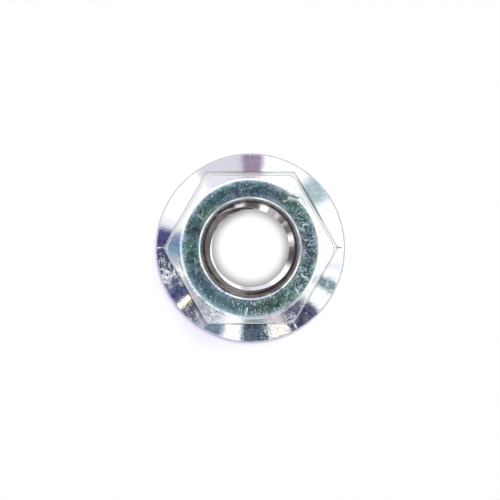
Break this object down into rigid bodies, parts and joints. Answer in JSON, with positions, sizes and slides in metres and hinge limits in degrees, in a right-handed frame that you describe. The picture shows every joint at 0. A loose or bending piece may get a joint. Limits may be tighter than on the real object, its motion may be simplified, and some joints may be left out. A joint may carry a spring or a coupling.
{
  "type": "flange nut",
  "caption": "Hexagon nut on a round sloping flange, threaded through, for clamping with a metric bolt without a separate washer.",
  "frame": {"origin": "centre of the bearing face, the underside of the flange", "axes": "+Z along the thread axis, from the bearing face to the top face; two corners of the hexagon lie on the X axis"},
  "size_m": [0.0164, 0.0162, 0.008],
  "materials": {
    "zinc_plate": "bright zinc plate with a clear bluish passivate"
  },
  "bodies": {
    "root": {"flange_nut": "zinc_plate"}
  },
  "joints": []
}
